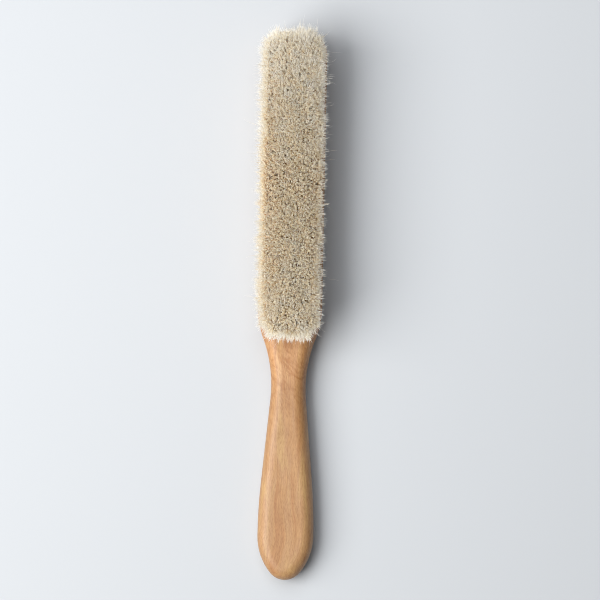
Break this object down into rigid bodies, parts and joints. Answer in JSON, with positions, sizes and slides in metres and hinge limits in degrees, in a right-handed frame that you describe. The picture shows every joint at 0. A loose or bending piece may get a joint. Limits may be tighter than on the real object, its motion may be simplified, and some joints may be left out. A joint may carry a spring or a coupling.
{
  "type": "clothes brush",
  "caption": "Long wooden clothes brush with a paddle handle, a waist and a rectangular head of dense pale hair tufts, for brushing fabric.",
  "frame": {"origin": "on the flat back face of the wood, on the centreline, half way along the wood", "axes": "+Y along the brush from the handle end to the head's tip, +Z out of the back face towards the hair tips, +X to the right when the hair faces the viewer and the head's tip is up"},
  "size_m": [0.0358, 0.3, 0.0415],
  "materials": {
    "beech": "satin",
    "hair": "matte",
    "anchor_wire": "satin"
  },
  "bodies": {
    "root": {"beech_body": "beech", "tufts_left_outer": "hair", "tufts_left_inner": "hair", "tufts_centre": "hair", "tufts_right_inner": "hair", "tufts_right_outer": "hair", "anchors_left_outer": "anchor_wire", "anchors_left_inner": "anchor_wire", "anchors_centre": "anchor_wire", "anchors_right_inner": "anchor_wire", "anchors_right_outer": "anchor_wire"}
  },
  "joints": []
}
